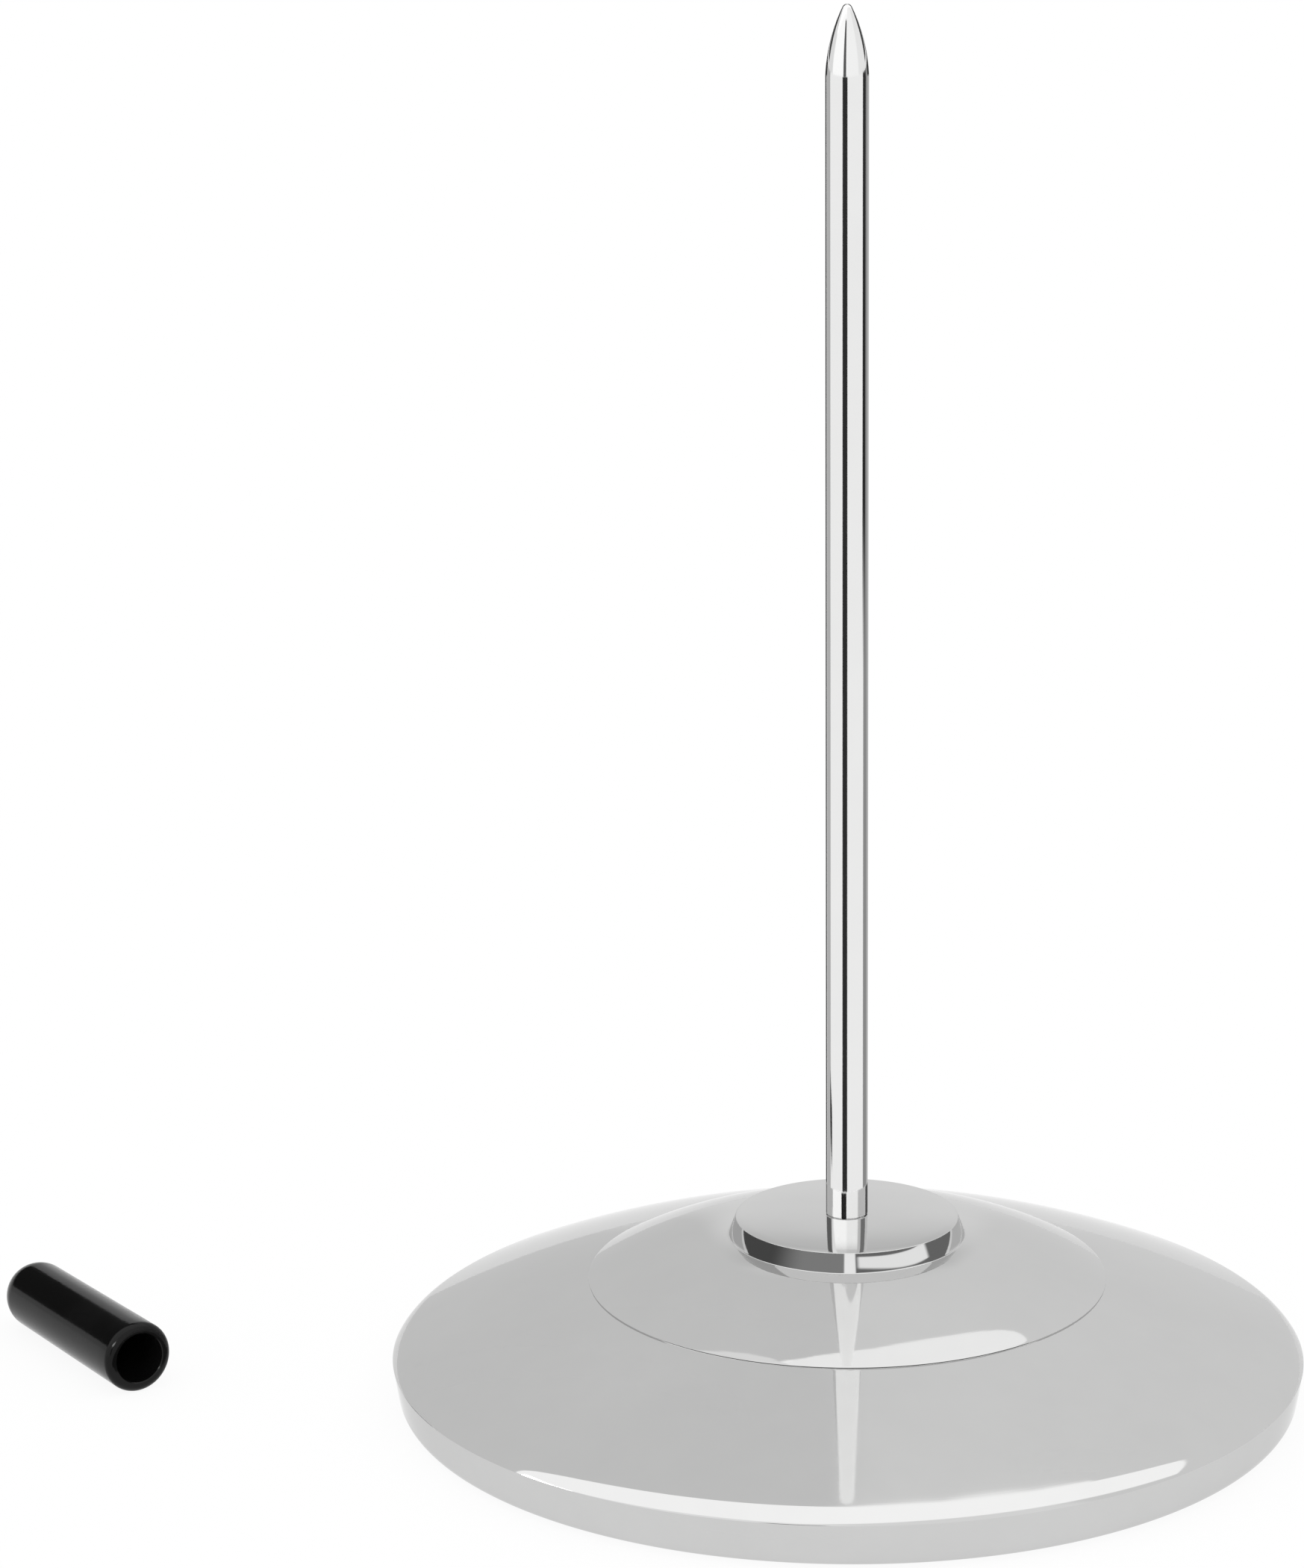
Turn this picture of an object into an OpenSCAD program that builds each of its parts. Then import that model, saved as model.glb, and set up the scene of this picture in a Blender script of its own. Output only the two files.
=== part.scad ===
// Receipt spike: a pointed steel rod on a domed, weighted base, with its safety cap lying beside it.
// Millimetres, +Z up. The origin is on the counter, under the middle of the base.

/* [Base shell] */
// Widest diameter of the base, at the crease above the skirt
base_d = 110; // [100:1:130]
// Height of the skirt, from its foot to the crease
rim_h = 5.5; // [4:0.1:9]
// How far the skirt leans in between the crease and its foot
skirt_lean = 0.9; // [0:0.1:3]
// Outer radius of the bend at the skirt's foot
bend_r = 2; // [1:0.1:2.4]
// Width of the flat lip turned in under the bottom plate
lip_w = 3; // [1.5:0.1:5]
// Radius of the rolled edge between the crease and the flank
edge_r = 3.9; // [1.5:0.1:5]
// Tilt of the rolled edge at the crease, in degrees from level
edge_tilt = 60; // [45:1:80]
// Radius of the flank, which is part of a sphere
flank_r = 127; // [90:1:200]
// Thickness of both pressings
sheet_t = 0.8; // [0.5:0.1:0.9]

/* [Upper dome] */
// Diameter of the dome where it sits on the shell
dome_d = 62.4; // [56:0.1:72]
// Height of the upright edge left where the dome is trimmed flat
dome_foot_h = 0.15; // [0.1:0.05:1]
// Crown radius of the dome between its edge and the boss
dome_crown_r = 46; // [36:1:120]
// Rise of the dome from its seat to the foot of the boss
dome_rise = 5.35; // [4:0.05:8]
// Diameter of the boss at its foot
boss_d = 28.4; // [25:0.1:34]
// Height of the boss
boss_h = 2.6; // [1:0.1:4]
// How far the wall of the boss leans in over its height
boss_lean = 1; // [0.2:0.05:1.5]
// Radius that the wall of the boss bulges to
boss_wall_r = 22; // [5:0.5:40]

/* [Spike] */
// Height of the point above the counter
overall_h = 168; // [120:1:220]
// Diameter of the rod
spike_d = 5; // [4.6:0.1:6]
// Length of the ground point
point_l = 8.2; // [6:0.1:20]
// Crown radius of the point's outline
point_crown_r = 20; // [16:1:60]
// Radius of the blunted tip
tip_r = 0.6; // [0.2:0.05:0.8]
// Diameter of the threaded stud below the rod
stud_d = 4; // [3:0.1:4.4]
// Chamfer at the stud's end
stud_chamfer = 0.4; // [0.2:0.05:0.6]
// Length of stud left over past the nut
stud_spare = 1; // [0.4:0.1:1.5]

/* [Weight and fixing] */
// Diameter of the weight
weight_d = 88; // [76:1:94]
// Air left between the weight and the shell
weight_gap = 0.8; // [0.4:0.1:2]
// Chamfer at the weight's lower edge
weight_chamfer = 1; // [0.2:0.1:2]
// Diameter of the hub that carries the boss
hub_d = 20; // [14:0.1:21]
// Diameter of the recess for the fixing, under the weight
recess_d = 15; // [13:0.1:24]
// Outer diameter of the plain washer
washer_d = 9; // [8:0.1:12]
// Thickness of the plain washer
washer_t = 0.8; // [0.5:0.1:1.2]
// Outer diameter of the lock washer
lock_d = 7.6; // [6.8:0.1:9]
// Thickness of the lock washer
lock_t = 0.9; // [0.6:0.1:1.4]
// Width of the slit through the lock washer
lock_slit = 0.6; // [0.3:0.1:1.2]
// Width across the flats of the nut
nut_af = 7; // [6.5:0.1:9]
// Height of the nut
nut_h = 3.2; // [2:0.1:4]
// Room between the stud's end and the bottom plate
stud_room = 1; // [0.3:0.1:4]
// Radial clearance of the stud in every hole that it passes
stud_clear = 0.15; // [0.05:0.05:0.3]
// Radial clearance of the nut's thread on the stud
thread_clear = 0.03; // [0.02:0.01:0.1]

/* [Underside] */
// Thickness of the bottom plate
plate_t = 0.8; // [0.5:0.1:1.5]
// Radial clearance of the bottom plate in the skirt
plate_clear = 0.6; // [0.3:0.1:1]
// How far the pad stands proud of the lip
pad_proud = 0.3; // [0.2:0.1:1.5]
// Radial clearance of the pad in the lip
pad_clear = 0.4; // [0.2:0.1:1]

/* [Safety cap] */
// Length of the cap
cap_l = 31.2; // [20:0.1:45]
// Outer diameter at the mouth
cap_mouth_d = 8.8; // [8:0.1:11]
// Outer diameter at the closed end
cap_end_d = 8.4; // [7.5:0.1:10]
// Radius of the lip round the mouth
cap_lip_r = 0.95; // [0.1:0.05:1]
// Diameter of the flared mouth
cap_flare_d = 6.2; // [5.8:0.1:6.4]
// Depth of the flare
cap_flare_l = 3.5; // [1:0.1:6]
// Thickness of the closed end
cap_end_t = 3; // [1.5:0.1:5]
// Space between the base and the mouth of the cap
cap_away = 31; // [20:0.5:60]
// How far the mouth lies behind the middle of the base
cap_back = -0.9; // [-20:0.1:20]
// Direction that the mouth faces, in degrees from +X
cap_turn = -55; // [-70:1:-40]

/* [Hidden] */
$fn = 96;
arc_steps = 24;

// Radii
base_r = base_d / 2;
dome_r = dome_d / 2;
boss_r = boss_d / 2;
spike_r = spike_d / 2;
stud_r = stud_d / 2;
stud_hole_r = stud_r + stud_clear;
weight_r = weight_d / 2;
hub_r = hub_d / 2;

// Skirt: its foot, its crease, and the bend between the lip and the skirt
foot_z = pad_proud;
crease = [base_r, foot_z + rim_h];
skirt_tilt = 90 + atan(skirt_lean / rim_h);
skirt_run = (rim_h - bend_r * (1 + cos(skirt_tilt))) / sin(skirt_tilt);
bend_c = crease + skirt_run * [cos(skirt_tilt), -sin(skirt_tilt)] - bend_r * [sin(skirt_tilt), cos(skirt_tilt)];
lip_r = bend_c[0] - lip_w;

// Flank: a sphere on the spike's axis that the rolled edge runs into
edge_c = crease - edge_r * [sin(edge_tilt), cos(edge_tilt)];
flank_c = [0, edge_c[1] - sqrt(pow(flank_r - edge_r, 2) - pow(edge_c[0], 2))];
flank_end = atan2(edge_c[0], edge_c[1] - flank_c[1]);
flank_start = asin(dome_r / flank_r);
seat_z = flank_c[1] + flank_r * cos(flank_start);

// Upper dome: its edge, its crown, which is trimmed flat from inside, and the boss
dome_edge = [dome_r, seat_z + dome_foot_h];
boss_foot = [boss_r, seat_z + dome_rise];
boss_top = boss_foot + [-boss_lean, boss_h];
boss_z = boss_top[1];
dome_crown_c = meet(boss_foot, dome_crown_r, dome_edge, dome_crown_r);
dome_end = tilt_of(dome_edge - dome_crown_c);
dome_trim = acos((seat_z - dome_crown_c[1]) / (dome_crown_r - sheet_t));
dome_start = tilt_of(boss_foot - dome_crown_c);
dome_trim_r = dome_crown_c[0] + (dome_crown_r - sheet_t) * sin(dome_trim);
boss_wall_c = meet(boss_top, boss_wall_r, boss_foot, boss_wall_r);

// Spike: the blunted tip and the point's crown
tip_c = [0, overall_h - tip_r];
shoulder = [spike_r, overall_h - point_l];
point_c = meet(shoulder, point_crown_r, tip_c, point_crown_r - tip_r);

// Underside, from the counter up
plate_z = foot_z + sheet_t;
weight_z = plate_z + plate_t;
plate_r = bend_c[0] - plate_clear;
pad_r = lip_r - pad_clear;

// Fixing, from the stud's end up to the recess's ceiling
stud_z = weight_z + stud_room;
nut_z = stud_z + stud_spare;
lock_z = nut_z + nut_h;
washer_z = lock_z + lock_t;
recess_z = washer_z + washer_t;

// Weight: follows the shell from inside
weight_crown_r = flank_r - sheet_t - weight_gap;
weight_top_z = seat_z - sheet_t - weight_gap;
weight_side = asin(weight_r / weight_crown_r);
weight_shelf = acos((weight_top_z - flank_c[1]) / weight_crown_r);
shell_hole_r = hub_r + weight_gap;

// Cap: lies on the counter along its tapered side
cap_mouth_r = cap_mouth_d / 2;
cap_end_r = cap_end_d / 2;
cap_taper_l = cap_l - cap_end_r;
cap_taper = asin((cap_mouth_r - cap_end_r) / cap_taper_l);
cap_bore_l = cap_l - cap_end_t - spike_r;

// Unit vector along v
function unit(v) = v / norm(v);

// v turned a quarter turn to the left
function left(v) = [-v[1], v[0]];

// Tilt of a direction from upright, in degrees
function tilt_of(v) = atan2(v[0], v[1]);

// Points of an arc about c, between two tilts from upright
function arc(c, r, from, to) =
    [for (i = [0 : arc_steps]) let (t = from + (to - from) * i / arc_steps) c + r * [sin(t), cos(t)]];

// A list without its first entry
function rest(list) = [for (i = [1 : len(list) - 1]) list[i]];

// Where circles of radius rp about p and rq about q meet, on the side nearer the axis and the floor
function meet(p, rp, q, rq) =
    let (d = norm(q - p), along = (rp * rp - rq * rq + d * d) / (2 * d), across = sqrt(rp * rp - along * along))
    p + along * unit(q - p) + across * (q[0] > p[0] ? -1 : 1) * left(unit(q - p));

// A path moved to its left by d, with mitred corners
function beside(path, d) =
    let (last = len(path) - 1)
    [for (i = [0 : last])
        let (a = left(unit(path[max(i, 1)] - path[max(i, 1) - 1])),
             b = left(unit(path[min(i, last - 1) + 1] - path[min(i, last - 1)])),
             n = unit(a + b))
        path[i] + n * d / (n * a)];

// A list in reverse order
function reversed(list) = [for (i = [len(list) - 1 : -1 : 0]) list[i]];

// A round pressing between its outer and its inner path
module pressing(outside, inside) {
    rotate_extrude() polygon(concat(outside, reversed(inside)));
}

// A flat ring on the spike's axis
module ring(r_out, r_in, h, z) {
    translate([0, 0, z])
        difference() {
            cylinder(r = r_out, h = h);
            translate([0, 0, -h]) cylinder(r = r_in, h = 3 * h);
        }
}

// Lower tier of the base: lip, skirt, rolled edge, flank and the flat seat under the dome
module base_shell() {
    path = concat(
        [[lip_r, foot_z]],
        arc(bend_c, bend_r, 180, skirt_tilt),
        arc(edge_c, edge_r, edge_tilt, flank_end),
        rest(arc(flank_c, flank_r, flank_end, flank_start)),
        [[shell_hole_r, seat_z]]);
    color("gainsboro") pressing(path, beside(path, sheet_t));
}

// Upper tier of the base: a crown trimmed flat on its seat, and the boss that the rod stands on
module upper_dome() {
    boss = concat(
        rest(arc(boss_wall_c, boss_wall_r, tilt_of(boss_foot - boss_wall_c), tilt_of(boss_top - boss_wall_c))),
        [[stud_hole_r, boss_z]]);
    outside = concat(arc(dome_crown_c, dome_crown_r, dome_end, dome_start), boss);
    inside = concat(arc(dome_crown_c, dome_crown_r, dome_trim, dome_start), boss);
    color("whitesmoke")
        pressing(
            concat([[dome_r, seat_z]], outside),
            concat([[dome_trim_r, seat_z]], rest(beside(inside, sheet_t))));
}

// Rod with its ground point, and the stud that goes down through the base
module spike() {
    color("silver")
        rotate_extrude()
            polygon(concat(
                [[0, stud_z], [stud_r - stud_chamfer, stud_z], [stud_r, stud_z + stud_chamfer],
                 [stud_r, boss_z], [spike_r, boss_z]],
                arc(point_c, point_crown_r, tilt_of(shoulder - point_c), tilt_of(tip_c - point_c)),
                [[0, overall_h]]));
}

// Cast weight: fills the shell, carries the boss on its hub and hides the fixing in its underside
module ballast_weight() {
    color("dimgray")
        rotate_extrude()
            polygon(concat(
                [[recess_d / 2, weight_z], [weight_r - weight_chamfer, weight_z], [weight_r, weight_z + weight_chamfer]],
                arc(flank_c, weight_crown_r, weight_side, weight_shelf),
                [[hub_r, weight_top_z], [hub_r, boss_z - sheet_t], [stud_hole_r, boss_z - sheet_t],
                 [stud_hole_r, recess_z], [recess_d / 2, recess_z]]));
}

// Washer that spreads the nut's load over the weight
module plain_washer() {
    color("lightsteelblue") ring(washer_d / 2, stud_hole_r, washer_t, washer_z);
}

// Split spring washer, pressed flat by the nut
module lock_washer() {
    slit_skew = 20;
    color("slategray")
        difference() {
            ring(lock_d / 2, stud_hole_r, lock_t, lock_z);
            translate([lock_d / 2, 0, lock_z + lock_t / 2])
                rotate([slit_skew, 0, 0])
                    cube([lock_d, lock_slit, 3 * lock_t], center = true);
        }
}

// Nut on the stud, with the corners of both ends turned off
module hex_nut() {
    nut_r = nut_af / 2 / cos(30);
    turned_off = nut_r - nut_af / 2;
    color("lightsteelblue")
        translate([0, 0, nut_z])
            difference() {
                intersection() {
                    cylinder(r = nut_r, h = nut_h, $fn = 6);
                    rotate_extrude()
                        polygon([[0, 0], [nut_af / 2, 0], [nut_r, turned_off], [nut_r, nut_h - turned_off],
                                 [nut_af / 2, nut_h], [0, nut_h]]);
                }
                translate([0, 0, -nut_h]) cylinder(r = stud_r + thread_clear, h = 3 * nut_h);
            }
}

// Disc that closes the shell, held by the lip
module bottom_plate() {
    color("lightgray") translate([0, 0, plate_z]) cylinder(r = plate_r, h = plate_t);
}

// Soft disc that the base stands on
module base_pad() {
    color("black") cylinder(r = pad_r, h = plate_z);
}

// Moulded cap with a round end, a slightly tapered side and a flared mouth, laid on the counter
module safety_cap() {
    color([0.08, 0.08, 0.08])
        translate([-base_r - cap_away, cap_back, cap_mouth_r * cos(cap_taper)])
            rotate([0, 0, cap_turn])
                rotate([0, -90 - cap_taper, 0])
                    rotate_extrude()
                        polygon(concat(
                            [[cap_flare_d / 2, 0]],
                            arc([cap_mouth_r - cap_lip_r, cap_lip_r], cap_lip_r, 180, 90),
                            arc([0, cap_taper_l], cap_end_r, 90 - cap_taper, 0),
                            arc([0, cap_bore_l], spike_r, 0, 90),
                            [[spike_r, cap_flare_l]]));
}

base_shell();
upper_dome();
spike();
ballast_weight();
plain_washer();
lock_washer();
hex_nut();
bottom_plate();
base_pad();
safety_cap();
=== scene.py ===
"""Receipt spike: fine skins for the polished pieces and the cap, finishes, floor, light and camera."""

import logging
import math
from collections.abc import Sequence
from dataclasses import dataclass, field
from enum import Enum

import bpy
from mathutils import Matrix, Vector


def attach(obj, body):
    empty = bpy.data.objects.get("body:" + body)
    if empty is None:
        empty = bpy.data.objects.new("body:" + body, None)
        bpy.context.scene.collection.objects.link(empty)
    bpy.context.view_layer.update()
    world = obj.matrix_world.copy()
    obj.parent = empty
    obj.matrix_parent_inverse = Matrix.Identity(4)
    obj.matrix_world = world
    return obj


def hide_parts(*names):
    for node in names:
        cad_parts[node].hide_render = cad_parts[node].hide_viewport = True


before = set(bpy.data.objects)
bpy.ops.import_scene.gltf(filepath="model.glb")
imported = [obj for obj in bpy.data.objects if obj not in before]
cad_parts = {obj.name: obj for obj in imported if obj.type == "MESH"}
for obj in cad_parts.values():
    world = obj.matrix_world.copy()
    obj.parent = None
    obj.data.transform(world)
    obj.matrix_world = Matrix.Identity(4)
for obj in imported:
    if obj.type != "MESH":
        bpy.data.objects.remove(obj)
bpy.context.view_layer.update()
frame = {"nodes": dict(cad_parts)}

MM = 0.001
DEGREES = 180 / math.pi
LOG = logging.getLogger("receipt_spike")

Point = tuple[float, float]
Colour = tuple[float, float, float]


class Body(Enum):
    """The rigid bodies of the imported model."""

    STAND = "stand"
    CAP = "cap"


class Lay(Enum):
    """The way that fine tool marks run on a turned or polished surface."""

    ROUND_THE_AXIS = "round"
    UP_THE_ROD = "rod"


# Profiles


def arc(centre: Point, radius: float, start: float, end: float, steps: int) -> list[Point]:
    """Points of an arc.

    Args:
        centre: the arc's centre, as radius and height in millimetres.
        radius: the arc's radius in millimetres.
        start: tilt of the first point from upright, in degrees.
        end: tilt of the last point from upright, in degrees.
        steps: number of chords.

    Returns:
        The points, from start to end.
    """
    points = []
    for i in range(steps + 1):
        tilt = math.radians(start + (end - start) * i / steps)
        points.append((centre[0] + radius * math.sin(tilt), centre[1] + radius * math.cos(tilt)))
    return points


def tilt_of(tip: Point, tail: Point) -> float:
    """Tilt from upright, in degrees, of the direction from tail to tip."""
    return math.degrees(math.atan2(tip[0] - tail[0], tip[1] - tail[1]))


def meet(p: Point, rp: float, q: Point, rq: float) -> Point:
    """Where two circles meet, on the side nearer the axis and the floor.

    Args:
        p: centre of the first circle.
        rp: radius of the first circle.
        q: centre of the second circle.
        rq: radius of the second circle.

    Returns:
        The meeting point.
    """
    gap = math.dist(p, q)
    along = (rp * rp - rq * rq + gap * gap) / (2 * gap)
    across = math.sqrt(rp * rp - along * along)
    ux, uz = (q[0] - p[0]) / gap, (q[1] - p[1]) / gap
    side = -1 if q[0] > p[0] else 1
    return (p[0] + along * ux - side * across * uz, p[1] + along * uz + side * across * ux)


def rounded(before: Point, corner: Point, after: Point, radius: float, steps: int) -> list[Point]:
    """A corner of a profile, rounded to a radius.

    Args:
        before: the point before the corner.
        corner: the sharp corner.
        after: the point after the corner.
        radius: the rounding's radius in millimetres.
        steps: number of chords in the rounding.

    Returns:
        Points along the rounding, from the side of before to the side of after.
    """
    a = Vector((before[0] - corner[0], before[1] - corner[1])).normalized()
    b = Vector((after[0] - corner[0], after[1] - corner[1])).normalized()
    half = a.angle(b) / 2
    reach = radius / math.tan(half)
    centre = Vector(corner) + (a + b).normalized() * (radius / math.sin(half))
    start = Vector(corner) + a * reach - centre
    end = Vector(corner) + b * reach - centre
    turn = start.angle_signed(end)
    points = []
    for i in range(steps + 1):
        spoke = Matrix.Rotation(-turn * i / steps, 2) @ start
        points.append((centre.x + spoke.x, centre.y + spoke.y))
    return points


def beside(path: list[Point], gap: float) -> list[Point]:
    """A path moved to its left, with mitred corners.

    Args:
        path: the path's points in order.
        gap: how far it moves, in millimetres.

    Returns:
        The moved points.
    """
    spots = [Vector(point) for point in path]
    steps = [(b - a).normalized() for a, b in zip(spots, spots[1:])]
    lefts = [Vector((-step.y, step.x)) for step in steps]
    moved = []
    for spot, a, b in zip(spots, lefts[:1] + lefts, lefts + lefts[-1:]):
        mitre = (a + b).normalized()
        moved.append(tuple(spot + mitre * (gap / mitre.dot(a))))
    return moved


# Modelling


def select_nothing() -> None:
    """Deselects every object, so that the next operator acts on new work alone."""
    bpy.ops.object.select_all(action="DESELECT")
    bpy.context.view_layer.objects.active = None


@dataclass
class Lathe:
    """Draws a profile by extruding a vertex, and spins it round the Z axis.

    Args:
        segments: number of steps round the axis.
    """

    segments: int = 256

    def turn(self, name: str, profile: list[Point]) -> bpy.types.Object:
        """Turns a profile into a mesh.

        Args:
            name: the piece's name.
            profile: the profile's points, as radius and height in millimetres.

        Returns:
            The new object, in object mode, active and selected.
        """
        select_nothing()
        bpy.ops.mesh.primitive_plane_add(size=MM)
        piece = bpy.context.object
        piece.name = piece.data.name = name
        bpy.ops.object.mode_set(mode="EDIT")
        bpy.ops.mesh.select_all(action="SELECT")
        bpy.ops.mesh.merge(type="CENTER")
        radius, height = profile[0]
        bpy.ops.transform.translate(value=(radius * MM, 0, height * MM))
        for here, there in zip(profile, profile[1:]):
            step = ((there[0] - here[0]) * MM, 0, (there[1] - here[1]) * MM)
            bpy.ops.mesh.extrude_vertices_move(TRANSFORM_OT_translate={"value": step})
        bpy.ops.mesh.select_all(action="SELECT")
        bpy.ops.mesh.spin(steps=self.segments, angle=math.tau, center=(0, 0, 0), axis=(0, 0, 1))
        bpy.ops.mesh.select_all(action="SELECT")
        bpy.ops.mesh.remove_doubles(threshold=1e-7)
        bpy.ops.mesh.normals_make_consistent(inside=False)
        bpy.ops.object.mode_set(mode="OBJECT")
        return piece


def apply_modifier(piece: bpy.types.Object, kind: str, settings: dict[str, object]) -> None:
    """Adds a modifier to a piece and applies it.

    Args:
        piece: the piece.
        kind: the modifier's type.
        settings: the modifier's values by name.
    """
    select_nothing()
    piece.select_set(True)
    bpy.context.view_layer.objects.active = piece
    modifier = piece.modifiers.new(kind.title(), kind)
    for key, value in settings.items():
        setattr(modifier, key, value)
    bpy.ops.object.modifier_apply(modifier=modifier.name)


def smooth(piece: bpy.types.Object, below: float = 22.0) -> None:
    """Shades a piece smooth, apart from its sharp edges.

    Args:
        piece: the piece.
        below: largest angle between two faces that are shaded smooth, in degrees.
    """
    select_nothing()
    piece.select_set(True)
    bpy.context.view_layer.objects.active = piece
    bpy.ops.object.shade_smooth_by_angle(angle=math.radians(below))


def set_down(piece: bpy.types.Object, place: Matrix) -> None:
    """Moves a piece to its place and leaves the place in its mesh.

    Args:
        piece: the piece, modelled at the origin.
        place: where it goes.
    """
    select_nothing()
    piece.matrix_world = place
    piece.select_set(True)
    bpy.context.view_layer.objects.active = piece
    bpy.ops.object.transform_apply(location=True, rotation=True, scale=True)


def adopt(piece: bpy.types.Object, body: Body, node: str) -> None:
    """Smooths a piece and lets it stand for a CAD node and ride on its body.

    Args:
        piece: the finished piece.
        body: the body it rides on.
        node: the CAD node it stands for.
    """
    smooth(piece)
    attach(piece, body.value)
    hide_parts(node)
    LOG.info("%s: %d faces, stands for %s", piece.name, len(piece.data.polygons), node)


# Shader maths


class Value:
    """A shader socket. Python's operators on it add Math nodes."""

    def __init__(self, shader: "Shader", socket: bpy.types.NodeSocket) -> None:
        """Wraps one output socket of a shader's tree."""
        self.shader = shader
        self.socket = socket

    def __add__(self, other: "Value | float") -> "Value":
        """self + other."""
        return self.shader.math("ADD", self, other)

    def __sub__(self, other: "Value | float") -> "Value":
        """self - other."""
        return self.shader.math("SUBTRACT", self, other)

    def __rsub__(self, other: float) -> "Value":
        """other - self."""
        return self.shader.math("SUBTRACT", other, self)

    def __mul__(self, other: "Value | float") -> "Value":
        """self * other."""
        return self.shader.math("MULTIPLY", self, other)

    def __truediv__(self, other: "Value | float") -> "Value":
        """self / other."""
        return self.shader.math("DIVIDE", self, other)

    def __pow__(self, other: float) -> "Value":
        """self to the power of other."""
        return self.shader.math("POWER", self, other)

    def __neg__(self) -> "Value":
        """0 - self."""
        return self.shader.math("SUBTRACT", 0.0, self)

    def most(self, other: "Value | float") -> "Value":
        """The larger of the two values."""
        return self.shader.math("MAXIMUM", self, other)

    def least(self, other: "Value | float") -> "Value":
        """The smaller of the two values."""
        return self.shader.math("MINIMUM", self, other)

    def within(self, low: float, high: float, soft: float) -> "Value":
        """1 between low and high and 0 outside, with soft sides."""
        return self.rise(low - soft, low + soft) * (1 - self.rise(high - soft, high + soft))

    def rise(self, low: float, high: float) -> "Value":
        """0 below low, 1 above high, and a smooth step between them."""
        return self.shader.node(
            "ShaderNodeMapRange",
            {"interpolation_type": "SMOOTHSTEP", "clamp": True},
            {"Value": self, "From Min": low, "From Max": high, "To Min": 0.0, "To Max": 1.0},
        )

    def between(self, low: "Value | float", high: "Value | float") -> "Value":
        """low where self is 0 and high where self is 1."""
        return self * (high - low) + low


class Shader:
    """A node tree that is cleared and built up from Python."""

    def __init__(self, tree: bpy.types.NodeTree) -> None:
        """Clears the tree."""
        self.tree = tree
        tree.nodes.clear()

    def node(self, kind: str, settings: dict[str, object] | None = None,
             inputs: dict[str | int, object] | None = None, output: str | int = 0) -> Value:
        """Adds one node of any type.

        Args:
            kind: the node's type.
            settings: its own settings by name, set first; stops are a ramp's positions and greys.
            inputs: values or links of its sockets, by name or number.
            output: the output socket that is returned, by name or number.

        Returns:
            The chosen output.
        """
        made = self.tree.nodes.new(kind)
        for key, value in (settings or {}).items():
            if key == "stops":
                self._set_stops(made.color_ramp, value)
            else:
                setattr(made, key, value)
        for key, value in (inputs or {}).items():
            if isinstance(value, Value):
                self.tree.links.new(value.socket, made.inputs[key])
            else:
                made.inputs[key].default_value = value
        sockets = made.outputs
        return Value(self, sockets[output]) if len(sockets) else Value(self, None)

    def math(self, operation: str, first: Value | float, second: Value | float = 0.0) -> Value:
        """One Math node's result."""
        return self.node("ShaderNodeMath", {"operation": operation}, {0: first, 1: second})

    @staticmethod
    def _set_stops(ramp: bpy.types.ColorRamp, stops: list[tuple[float, float]]) -> None:
        """Sets a ramp's stops, each a position and a grey."""
        while len(ramp.elements) < len(stops):
            ramp.elements.new(0.5)
        for element, (position, grey) in zip(ramp.elements, stops):
            element.position = position
            element.color = (grey, grey, grey, 1.0)

    def noise(self, where: Value, scale: float, detail: float = 2.0, roughness: float = 0.5) -> Value:
        """Noise from 0 to 1 over object coordinates in metres."""
        return self.node("ShaderNodeTexNoise", {}, {
            "Vector": where, "Scale": scale, "Detail": detail, "Roughness": roughness})

    def stripes(self, along: Value, scale: float, detail: float = 2.0) -> Value:
        """Noise from 0 to 1 along one value, in metres."""
        return self.node("ShaderNodeTexNoise", {"noise_dimensions": "1D"}, {
            "W": along, "Scale": scale, "Detail": detail, "Roughness": 0.6})

    def tint(self, amount: Value, low: Colour, high: Colour) -> Value:
        """A colour between low, where amount is 0, and high, where it is 1."""
        return self.node("ShaderNodeMix", {"data_type": "RGBA"}, {
            "Factor": amount, 6: (*low, 1.0), 7: (*high, 1.0)}, output=2)

    def bump(self, height: Value, strength: float, distance: float) -> Value:
        """A normal that is tilted by a height."""
        return self.node("ShaderNodeBump", {}, {
            "Height": height, "Strength": strength, "Distance": distance})

    def light_path(self, fact: str) -> Value:
        """One fact about the ray that is being followed."""
        return self.node("ShaderNodeLightPath", output=fact)

    def place(self) -> Value:
        """Object coordinates in metres."""
        return self.node("ShaderNodeTexCoord", output="Object")

    def axes(self, vector: Value) -> tuple[Value, Value, Value]:
        """The x, y and z of a vector."""
        node = self.node("ShaderNodeSeparateXYZ", {}, {0: vector}).socket.node
        return tuple(Value(self, socket) for socket in node.outputs)


def surface(name: str) -> tuple[bpy.types.Material, Shader]:
    """A new material with an empty tree.

    Args:
        name: the material's name.

    Returns:
        The material and its shader.
    """
    material = bpy.data.materials.new(name)
    material.use_nodes = True
    return material, Shader(material.node_tree)


def close(shader: Shader, inputs: dict[str, object]) -> None:
    """Ends a material's tree in one Principled surface.

    Args:
        shader: the material's shader.
        inputs: values or links of the surface's sockets.
    """
    result = shader.node("ShaderNodeBsdfPrincipled", {}, inputs)
    shader.node("ShaderNodeOutputMaterial", {}, {"Surface": result})


# Finishes


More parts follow.
